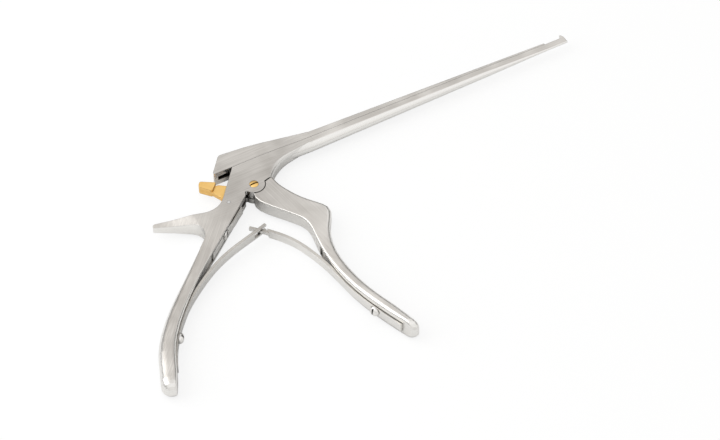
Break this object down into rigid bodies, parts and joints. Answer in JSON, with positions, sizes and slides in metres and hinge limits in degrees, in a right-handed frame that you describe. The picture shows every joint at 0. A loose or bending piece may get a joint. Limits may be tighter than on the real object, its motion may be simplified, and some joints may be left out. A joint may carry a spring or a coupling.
{
  "type": "bone rongeur",
  "caption": "Detachable bone punch with a slender shaft, a hooked footplate, a sliding upper shaft, spread handles with crossed leaf springs and a thumb lever that frees the shaft.",
  "frame": {"origin": "axis of the pivot screw, on the lower side face that the instrument lies on", "axes": "+X along the shaft to the footplate, +Y from the handles to the shaft, +Z across the thickness, up from the lower side face"},
  "size_m": [0.2841, 0.1424, 0.012],
  "materials": {
    "satin_steel": "satin",
    "spring_steel": "satin",
    "bright_steel": "polished",
    "gold_plate": "satin"
  },
  "bodies": {
    "frame_body": {"frame": "satin_steel", "pivot_screw": "gold_plate", "lever_pin": "bright_steel", "lock_spring": "spring_steel", "lock_spring_screw": "bright_steel", "rear_leaf_spring": "spring_steel", "rear_spring_screw": "bright_steel"},
    "upper_body": {"upper_shaft": "satin_steel", "driver_pin": "bright_steel"},
    "handle_body": {"front_handle": "satin_steel", "front_leaf_spring": "spring_steel", "front_spring_screw": "bright_steel"},
    "lever_body": {"release_lever": "gold_plate"}
  },
  "joints": [
    {"name": "handle_squeeze", "type": "hinge", "parent": "frame_body", "child": "handle_body", "pos_m": [0, 0, 0.0043], "axis": [0, 0, -1], "range_deg": [0, 30.82], "stiffness_Nm_per_rad": 2, "springref_deg": -5.73, "deforming": ["rear_leaf_spring", "front_leaf_spring"]},
    {"name": "upper_slide", "type": "slide", "parent": "frame_body", "child": "upper_body", "axis": [1, 0, 0], "range_m": [0, 0.00995]},
    {"name": "lever_press", "type": "hinge", "parent": "frame_body", "child": "lever_body", "pos_m": [-0.0162, -0.0045, 0.0043], "axis": [0, 0, -1], "range_deg": [0, 8], "stiffness_Nm_per_rad": 0.15, "springref_deg": -5.73, "deforming": ["lock_spring"]}
  ],
  "couplings": [
    {"joint": "upper_slide", "follows": "handle_squeeze", "m_per_rad": 0.018495}
  ]
}
